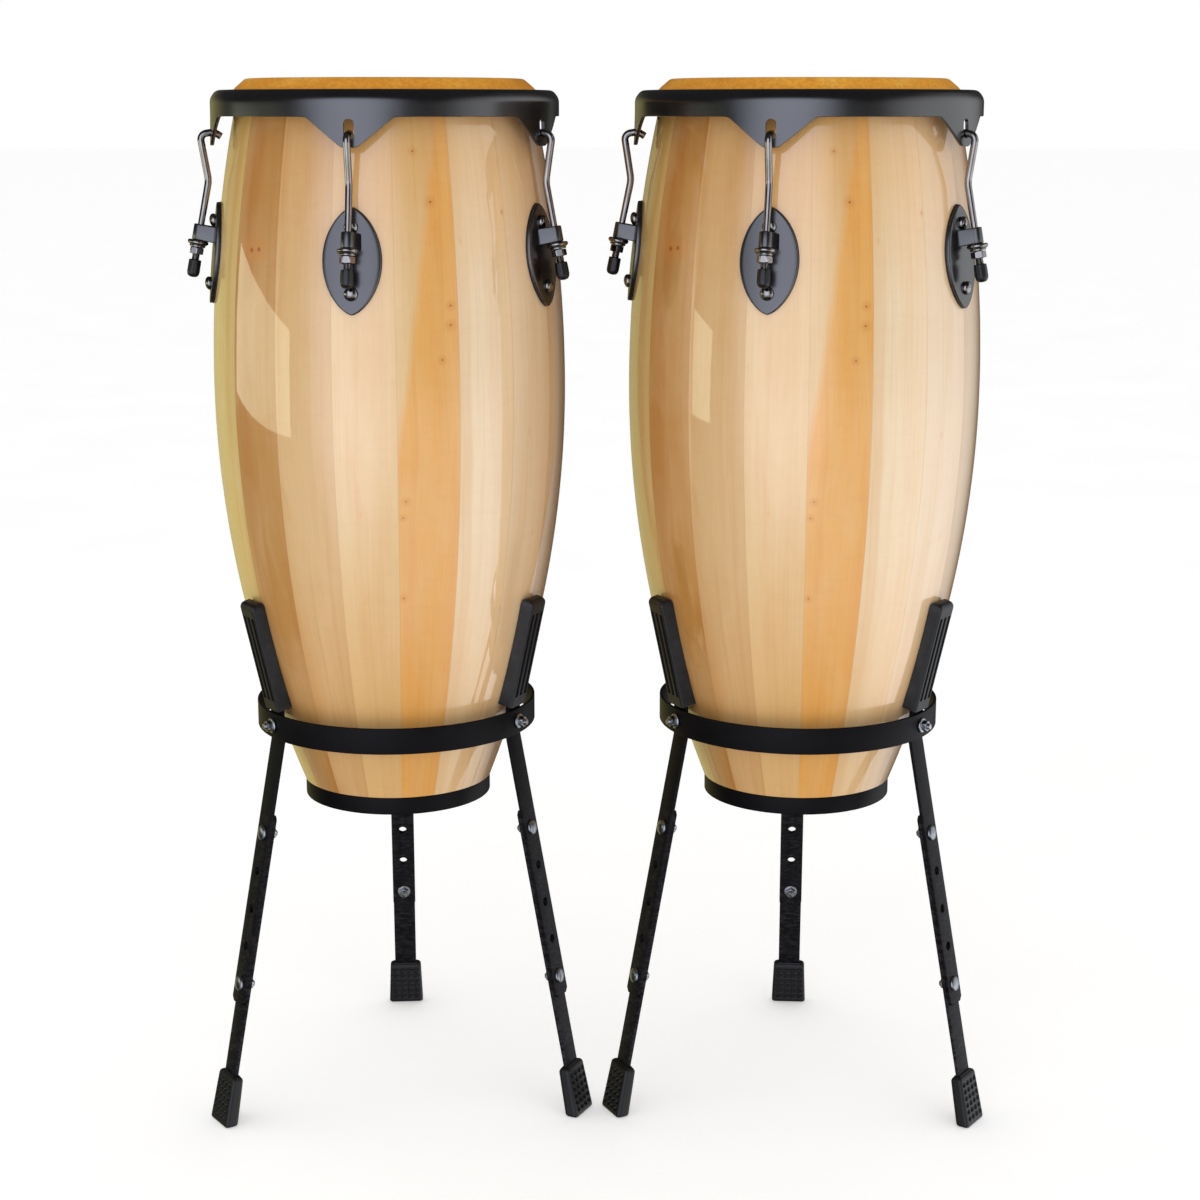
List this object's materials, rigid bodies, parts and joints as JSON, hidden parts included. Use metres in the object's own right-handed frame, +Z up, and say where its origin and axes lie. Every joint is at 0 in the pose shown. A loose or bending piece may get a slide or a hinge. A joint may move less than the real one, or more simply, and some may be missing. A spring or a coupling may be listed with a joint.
{
  "type": "pair of conga drums with basket stands",
  "caption": "Tall barrel-shaped stave hand drums with hide heads, curved rims and tuning hooks, in three-legged basket stands.",
  "frame": {"origin": "on the floor, below the middle of the pair's overall box", "axes": "+X from the left drum to the right drum, +Y away from the player, +Z up"},
  "size_m": [0.8004, 0.4157, 1.043],
  "materials": {
    "shell_wood": "clear gloss lacquer over pale staves",
    "hide": "golden-tan natural hide, satin",
    "black_steel": "satin black powder coat",
    "chrome": "bright plated steel",
    "zinc": "zinc-plated bolts and nuts",
    "rubber": "moulded black rubber"
  },
  "bodies": {
    "left_stand": {"left_stand_ring": "black_steel", "left_stand_arm_1": "black_steel", "left_stand_arm_2": "black_steel", "left_stand_arm_3": "black_steel", "left_cradle_pad_1": "rubber", "left_cradle_pad_2": "rubber", "left_cradle_pad_3": "rubber"},
    "left_leg_1": {"left_sliding_leg_1": "black_steel"},
    "left_leg_2": {"left_sliding_leg_2": "black_steel"},
    "left_leg_3": {"left_sliding_leg_3": "black_steel"},
    "left_drum": {"left_shell": "shell_wood", "left_head": "hide", "left_bottom_ring": "black_steel", "left_lug_1": "black_steel", "left_lug_2": "black_steel", "left_lug_3": "black_steel", "left_lug_4": "black_steel", "left_lug_5": "black_steel"},
    "left_rim_assembly": {"left_rim": "black_steel", "left_flesh_ring": "hide", "left_tuning_hook_1": "chrome", "left_tuning_hook_2": "chrome", "left_tuning_hook_3": "chrome", "left_tuning_hook_4": "chrome", "left_tuning_hook_5": "chrome"},
    "left_nut_1": {"left_tuning_nut_1": "chrome"},
    "left_nut_2": {"left_tuning_nut_2": "chrome"},
    "left_nut_3": {"left_tuning_nut_3": "chrome"},
    "left_nut_4": {"left_tuning_nut_4": "chrome"},
    "left_nut_5": {"left_tuning_nut_5": "chrome"},
    "right_stand": {"right_stand_ring": "black_steel", "right_stand_arm_1": "black_steel", "right_stand_arm_2": "black_steel", "right_stand_arm_3": "black_steel", "right_cradle_pad_1": "rubber", "right_cradle_pad_2": "rubber", "right_cradle_pad_3": "rubber"},
    "right_leg_1": {"right_sliding_leg_1": "black_steel"},
    "right_leg_2": {"right_sliding_leg_2": "black_steel"},
    "right_leg_3": {"right_sliding_leg_3": "black_steel"},
    "right_drum": {"right_shell": "shell_wood", "right_head": "hide", "right_bottom_ring": "black_steel", "right_lug_1": "black_steel", "right_lug_2": "black_steel", "right_lug_3": "black_steel", "right_lug_4": "black_steel", "right_lug_5": "black_steel"},
    "right_rim_assembly": {"right_rim": "black_steel", "right_flesh_ring": "hide", "right_tuning_hook_1": "chrome", "right_tuning_hook_2": "chrome", "right_tuning_hook_3": "chrome", "right_tuning_hook_4": "chrome", "right_tuning_hook_5": "chrome"},
    "right_nut_1": {"right_tuning_nut_1": "chrome"},
    "right_nut_2": {"right_tuning_nut_2": "chrome"},
    "right_nut_3": {"right_tuning_nut_3": "chrome"},
    "right_nut_4": {"right_tuning_nut_4": "chrome"},
    "right_nut_5": {"right_tuning_nut_5": "chrome"}
  },
  "joints": [
    {"name": "left_leg_1_slide", "type": "slide", "parent": "left_stand", "child": "left_leg_1", "axis": [-0.161, -0.1086, -0.981], "range_m": [0, 0.118]},
    {"name": "left_leg_2_slide", "type": "slide", "parent": "left_stand", "child": "left_leg_2", "axis": [0.1746, -0.0851, -0.981], "range_m": [0, 0.118]},
    {"name": "left_leg_3_slide", "type": "slide", "parent": "left_stand", "child": "left_leg_3", "axis": [-0.0135, 0.1938, -0.981], "range_m": [0, 0.118]},
    {"name": "left_drum_lift", "type": "slide", "parent": "left_stand", "child": "left_drum", "axis": [0, 0, 1], "range_m": [0, 0.25]},
    {"name": "left_rim_tension", "type": "slide", "parent": "left_drum", "child": "left_rim_assembly", "axis": [0, 0, -1], "range_m": [-0.002, 0.004]},
    {"name": "left_nut_1_turn", "type": "hinge", "parent": "left_drum", "child": "left_nut_1", "pos_m": [-0.22514, -0.19705, 0.87882], "axis": [0.0209, 0.1897, 0.9816], "range_deg": [-580, 1160]},
    {"name": "left_nut_2_turn", "type": "hinge", "parent": "left_drum", "child": "left_nut_2", "pos_m": [-0.03333, -0.08764, 0.87882], "axis": [-0.1739, 0.0785, 0.9816], "range_deg": [-580, 1160]},
    {"name": "left_nut_3_turn", "type": "hinge", "parent": "left_drum", "child": "left_nut_3", "pos_m": [-0.07811, 0.12859, 0.87882], "axis": [-0.1284, -0.1411, 0.9816], "range_deg": [-580, 1160]},
    {"name": "left_nut_4_turn", "type": "hinge", "parent": "left_drum", "child": "left_nut_4", "pos_m": [-0.29759, 0.15282, 0.87882], "axis": [0.0945, -0.1657, 0.9816], "range_deg": [-580, 1160]},
    {"name": "left_nut_5_turn", "type": "hinge", "parent": "left_drum", "child": "left_nut_5", "pos_m": [-0.38846, -0.04843, 0.87882], "axis": [0.1868, 0.0387, 0.9816], "range_deg": [-580, 1160]},
    {"name": "pair_spacing", "type": "slide", "parent": "left_stand", "child": "right_stand", "axis": [1, 0, 0], "range_m": [0, 0.4]},
    {"name": "right_leg_1_slide", "type": "slide", "parent": "right_stand", "child": "right_leg_1", "axis": [-0.1746, -0.0851, -0.981], "range_m": [0, 0.118]},
    {"name": "right_leg_2_slide", "type": "slide", "parent": "right_stand", "child": "right_leg_2", "axis": [0.161, -0.1086, -0.981], "range_m": [0, 0.118]},
    {"name": "right_leg_3_slide", "type": "slide", "parent": "right_stand", "child": "right_leg_3", "axis": [0.0135, 0.1938, -0.981], "range_m": [0, 0.118]},
    {"name": "right_drum_lift", "type": "slide", "parent": "right_stand", "child": "right_drum", "axis": [0, 0, 1], "range_m": [0, 0.25]},
    {"name": "right_rim_tension", "type": "slide", "parent": "right_drum", "child": "right_rim_assembly", "axis": [0, 0, -1], "range_m": [-0.002, 0.004]},
    {"name": "right_nut_1_turn", "type": "hinge", "parent": "right_drum", "child": "right_nut_1", "pos_m": [0.15712, -0.19045, 0.87882], "axis": [0.0542, 0.183, 0.9816], "range_deg": [-580, 1160]},
    {"name": "right_nut_2_turn", "type": "hinge", "parent": "right_drum", "child": "right_nut_2", "pos_m": [0.36528, -0.11674, 0.87882], "axis": [-0.1573, 0.1081, 0.9816], "range_deg": [-580, 1160]},
    {"name": "right_nut_3_turn", "type": "hinge", "parent": "right_drum", "child": "right_nut_3", "pos_m": [0.3595, 0.10401, 0.87882], "axis": [-0.1514, -0.1162, 0.9816], "range_deg": [-580, 1160]},
    {"name": "right_nut_4_turn", "type": "hinge", "parent": "right_drum", "child": "right_nut_4", "pos_m": [0.14777, 0.16672, 0.87882], "axis": [0.0637, -0.1799, 0.9816], "range_deg": [-580, 1160]},
    {"name": "right_nut_5_turn", "type": "hinge", "parent": "right_drum", "child": "right_nut_5", "pos_m": [0.0227, -0.01526, 0.87882], "axis": [0.1907, 0.005, 0.9816], "range_deg": [-580, 1160]}
  ],
  "couplings": [
    {"joint": "left_nut_1_turn", "follows": "left_rim_tension", "rad_per_m": 5026.5},
    {"joint": "left_nut_2_turn", "follows": "left_rim_tension", "rad_per_m": 5026.5},
    {"joint": "left_nut_3_turn", "follows": "left_rim_tension", "rad_per_m": 5026.5},
    {"joint": "left_nut_4_turn", "follows": "left_rim_tension", "rad_per_m": 5026.5},
    {"joint": "left_nut_5_turn", "follows": "left_rim_tension", "rad_per_m": 5026.5},
    {"joint": "right_nut_1_turn", "follows": "right_rim_tension", "rad_per_m": 5026.5},
    {"joint": "right_nut_2_turn", "follows": "right_rim_tension", "rad_per_m": 5026.5},
    {"joint": "right_nut_3_turn", "follows": "right_rim_tension", "rad_per_m": 5026.5},
    {"joint": "right_nut_4_turn", "follows": "right_rim_tension", "rad_per_m": 5026.5},
    {"joint": "right_nut_5_turn", "follows": "right_rim_tension", "rad_per_m": 5026.5}
  ]
}
